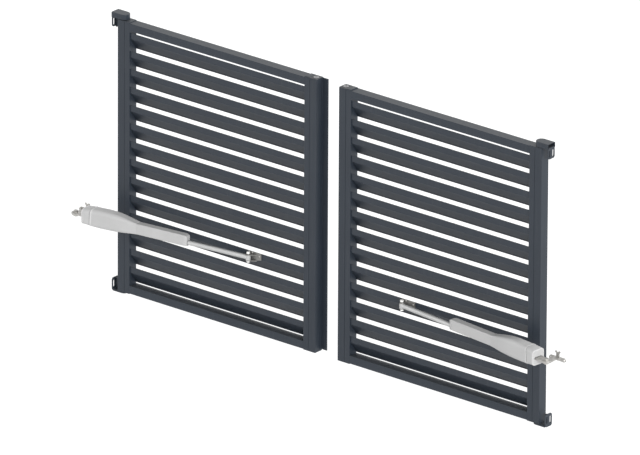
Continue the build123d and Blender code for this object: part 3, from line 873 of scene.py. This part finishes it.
class GATE_OT_rear_rims(bpy.types.Operator):
    """Moulds the rim round the rear end of each opener, paler than the cap as a painted highlight"""
    bl_idname = "gate.rear_rims"
    bl_label = "Add Rear Rims"

    def execute(self, context):
        depth, proud, band = 0.007, 0.0007, 0.0055
        # Distances along the opener from the cap's end, and out from the cap's outline
        profile = (
            (depth, -0.001), (depth, proud * 0.5), (depth - 0.0006, proud), (0.0016, proud - 0.0004),
            (0.0, -0.0004), (-0.0009, -0.0022), (-0.001, -band + 0.0008), (-0.0005, -band), (0.001, -band),
        )
        for side in SIDES:
            place = ram_frame(side)
            reaches = section_outline(f"{side}_opener_rear_cap", place, CAP_END_STATION + depth)
            bm = bmesh.new()
            rings = [outline_ring(place, CAP_END_STATION + along, reaches, out) for along, out in profile]
            add_rings(bm, rings, closed_ends=False)
            # The rim takes the paler plastic, which paints the highlight round the rear end
            object_from(bm, f"{side}_rear_rim", f"collar_plastic_{side}", f"{side}_ram")
        return {"FINISHED"}


class GATE_OT_rod_wiper(bpy.types.Operator):
    """Fits the rubber wiper where the rod leaves the nose"""
    bl_idname = "gate.rod_wiper"
    bl_label = "Add Rod Wiper"

    def execute(self, context):
        steps = 64
        # Distances out from the rod, and along it from the nose's end
        profile = (
            (0.00008, -0.004), (0.0001, 0.0012), (0.0006, 0.0019), (0.0016, 0.0015),
            (0.0021, 0.0), (0.0021, -0.0004), (0.0003, -0.0006), (0.0003, -0.004),
        )
        for side in SIDES:
            nose_end = Matrix.Translation((NOSE_END_STATION, 0, 0))
            place = ram_frame(side) @ nose_end @ Matrix.Rotation(math.pi / 2, 4, "Y")
            bm = bmesh.new()
            rings = [circle(ROD_RADIUS + out, along, steps, place) for out, along in profile]
            add_rings(bm, rings, closed_ends=False)
            object_from(bm, f"{side}_rod_wiper", "gasket_rubber", f"{side}_ram")
        return {"FINISHED"}


class GATE_OT_hinge_welds(bpy.types.Operator):
    """Welds the hinge shelves to their plates"""
    bl_idname = "gate.hinge_welds"
    bl_label = "Add Hinge Welds"

    def execute(self, context):
        radius = settings()[1].weld_radius
        half_length, pitch, sunk = 0.024, 0.0022, 0.001
        corner_steps, steps_each_ripple, end_steps = 9, 4, 6
        count = int(2 * half_length / pitch) * steps_each_ripple
        for side in SIDES:
            for level in LEVELS:
                wall, way, corner_z, up = hinge_corner(side, level)
                face = wall + way * HINGE_PLATE_THICKNESS
                bm = bmesh.new()
                rings = []
                for step in range(count + 1):
                    y = -half_length + 2 * half_length * step / count
                    ripple = 0.82 + 0.18 * abs(math.sin(math.pi * (y + half_length) / pitch))
                    taper = min(1.0, 0.45 + min(step, count - step) / end_steps)
                    bead = radius * ripple * taper
                    ring = []
                    for corner in range(corner_steps + 1):
                        angle = math.pi / 2 * corner / corner_steps
                        x = face + way * bead * math.cos(angle)
                        ring.append(Vector((x, y, corner_z + up * bead * math.sin(angle))))
                    ring.append(Vector((face - way * sunk, y, corner_z - up * sunk)))
                    rings.append(ring)
                add_rings(bm, rings)
                object_from(bm, f"{side}_{level}_hinge_weld", "powder_coat",
                            "wall_fixings")
        return {"FINISHED"}


class GATE_OT_studio(bpy.types.Operator):
    """Lays the floor, hangs the lamps and sets the camera"""
    bl_idname = "gate.studio"
    bl_label = "Set Studio"

    def execute(self, context):
        studio = settings()[2]
        self.lay_floor(studio)
        self.light(studio)
        self.set_camera(studio)
        bpy.context.scene.view_settings.view_transform = "Standard"
        return {"FINISHED"}

    def seen_ray(self, tree):
        """One for rays from the camera, off gloss or through glass, and nothing for the rest."""
        path = tree.nodes.new("ShaderNodeLightPath")
        value = path.outputs["Is Camera Ray"]
        for name in ("Is Glossy Ray", "Is Transmission Ray"):
            most = tree.nodes.new("ShaderNodeMath")
            most.operation = "MAXIMUM"
            tree.links.new(value, most.inputs[0])
            tree.links.new(path.outputs[name], most.inputs[1])
            value = most.outputs["Value"]
        return value

    def lay_floor(self, studio):
        """Pale floor under the gate, which stays white where no shadow falls."""
        half_width, drop = 60, 0.06
        bm = bmesh.new()
        bmesh.ops.create_grid(bm, x_segments=1, y_segments=1, size=half_width)
        mesh = bpy.data.meshes.new("floor")
        bm.to_mesh(mesh)
        bm.free()
        floor = bpy.data.objects.new("floor", mesh)
        floor.location = (GATE_MIDDLE_X, 0, CAD_BOX[0].z - drop)
        bpy.context.scene.collection.objects.link(floor)
        material, tree, shader = new_material("floor", studio.floor_colour, 0.9)
        # White, but with enough of its own shading left that the gate's shadow stays on it
        white = tree.nodes.new("ShaderNodeEmission")
        white.inputs["Strength"].default_value = 1 - 0.5 * studio.shadow_share
        shaded = tree.nodes.new("ShaderNodeBsdfDiffuse")
        shaded.inputs["Color"].default_value = (*(studio.shadow_share,) * 3, 1)
        both = tree.nodes.new("ShaderNodeAddShader")
        tree.links.new(white.outputs["Emission"], both.inputs[0])
        tree.links.new(shaded.outputs["BSDF"], both.inputs[1])
        mix = tree.nodes.new("ShaderNodeMixShader")
        tree.links.new(self.seen_ray(tree), mix.inputs["Fac"])
        tree.links.new(shader.outputs["BSDF"], mix.inputs[1])
        tree.links.new(both.outputs["Shader"], mix.inputs[2])
        tree.links.new(mix.outputs["Shader"], tree.nodes["Material Output"].inputs["Surface"])
        mesh.materials.append(material)

    def light(self, studio):
        """Plain surroundings, brighter at the horizon, and three wide lamps."""
        world = bpy.data.worlds.new("studio")
        bpy.context.scene.world = world
        world.use_nodes = True
        tree = world.node_tree
        background = tree.nodes["Background"]
        background.inputs["Color"].default_value = (1, 1, 1, 1)
        place = tree.nodes.new("ShaderNodeTexCoord")
        split = tree.nodes.new("ShaderNodeSeparateXYZ")
        tree.links.new(place.outputs["Generated"], split.inputs["Vector"])
        strength = ranged(tree, split.outputs["Z"], studio.horizon_strength, studio.zenith_strength, 0.0, 1.0)
        tree.links.new(strength, background.inputs["Strength"])
        white = tree.nodes.new("ShaderNodeBackground")
        white.inputs["Color"].default_value = (1, 1, 1, 1)
        white.inputs["Strength"].default_value = 1.0
        mix = tree.nodes.new("ShaderNodeMixShader")
        tree.links.new(self.seen_ray(tree), mix.inputs["Fac"])
        tree.links.new(background.outputs["Background"], mix.inputs[1])
        tree.links.new(white.outputs["Background"], mix.inputs[2])
        tree.links.new(mix.outputs["Shader"], tree.nodes["World Output"].inputs["Surface"])
        for name, way, strength, spread in (
            ("key", self.towards(studio.key_azimuth, studio.key_elevation), studio.key_strength, 24),
            ("fill", self.towards(math.radians(-40), math.radians(14)), studio.fill_strength, 40),
            ("back", self.towards(math.radians(160), math.radians(22)), studio.key_strength * 0.7, 40),
        ):
            self.hang(name, way, strength, math.radians(spread))

    def towards(self, azimuth, elevation):
        """Unit vector from the gate to where the azimuth and elevation point."""
        level = math.cos(elevation)
        return Vector((math.sin(azimuth) * level, -math.cos(azimuth) * level, math.sin(elevation)))

    def hang(self, name, way, strength, spread):
        """A wide, soft lamp that shines from one way on the gate's middle."""
        data = bpy.data.lights.new(name, "SUN")
        data.energy = strength
        data.angle = spread
        lamp = bpy.data.objects.new(name, data)
        reach, middle_height = 6, 0.8
        lamp.location = Vector((GATE_MIDDLE_X, 0, middle_height)) + way * reach
        lamp.rotation_euler = (-way).to_track_quat("-Z", "Y").to_euler()
        bpy.context.scene.collection.objects.link(lamp)

    def set_camera(self, studio):
        """Long lens from the front right and above, framed on the gate."""
        right = Vector((math.cos(studio.azimuth), math.sin(studio.azimuth), 0))
        back = self.towards(studio.azimuth, studio.elevation)
        up = back.cross(right)
        width, height = 640, 455
        # The middle of the gate's front stands at this pixel of the picture
        pixel = Vector((326.892, 220.436))
        target = Vector((GATE_MIDDLE_X, -0.03, 0.776))
        offset = (pixel - Vector((width / 2, height / 2))) / studio.scale
        location = target - right * offset.x + up * offset.y + back * studio.distance
        data = bpy.data.cameras.new("camera")
        data.sensor_width = 36
        data.lens = studio.scale * studio.distance * data.sensor_width / width
        data.clip_end = 1000
        camera = bpy.data.objects.new("camera", data)
        look = Matrix((right, up, back)).transposed().to_4x4()
        roll = Matrix.Rotation(studio.roll, 4, "Z")
        camera.matrix_world = Matrix.Translation(location) @ look @ roll
        bpy.context.scene.collection.objects.link(camera)
        bpy.context.scene.camera = camera


class GATE_PT_panel(bpy.types.Panel):
    """Lists the gate's steps"""
    bl_idname = "GATE_PT_panel"
    bl_label = "Gate"
    bl_space_type = "VIEW_3D"
    bl_region_type = "UI"
    bl_category = "Gate"

    def draw(self, context):
        for step in STEPS:
            self.layout.operator(step.bl_idname)
        for group in (context.scene.gate_finish, context.scene.gate_fixings, context.scene.gate_studio):
            box = self.layout.box()
            for name in group.bl_rna.properties.keys():
                if name not in ("rna_type", "name"):
                    box.prop(group, name)


STEPS = (
    GATE_OT_finishes, GATE_OT_soft_edges, GATE_OT_wall_bolts, GATE_OT_leaf_screws, GATE_OT_pin_caps,
    GATE_OT_stile_ends, GATE_OT_hinge_webs, GATE_OT_housing_seam, GATE_OT_rear_rims,
    GATE_OT_rod_wiper, GATE_OT_hinge_welds, GATE_OT_studio,
)
GROUPS = (GateFinish, GateFixings, GateStudio)


def register():
    for group in (*GROUPS, *STEPS, GATE_PT_panel):
        bpy.utils.register_class(group)
    bpy.types.Scene.gate_finish = PointerProperty(type=GateFinish)
    bpy.types.Scene.gate_fixings = PointerProperty(type=GateFixings)
    bpy.types.Scene.gate_studio = PointerProperty(type=GateStudio)


def unregister():
    del bpy.types.Scene.gate_studio
    del bpy.types.Scene.gate_fixings
    del bpy.types.Scene.gate_finish
    for group in reversed((*GROUPS, *STEPS, GATE_PT_panel)):
        bpy.utils.unregister_class(group)


def main():
    register()
    bpy.ops.gate.finishes()
    bpy.ops.gate.soft_edges()
    bpy.ops.gate.wall_bolts()
    bpy.ops.gate.leaf_screws()
    bpy.ops.gate.pin_caps()
    bpy.ops.gate.stile_ends()
    bpy.ops.gate.hinge_webs()
    bpy.ops.gate.housing_seam()
    bpy.ops.gate.rear_rims()
    bpy.ops.gate.rod_wiper()
    bpy.ops.gate.hinge_welds()
    bpy.ops.gate.studio()


if __name__ == "__main__":
    main()
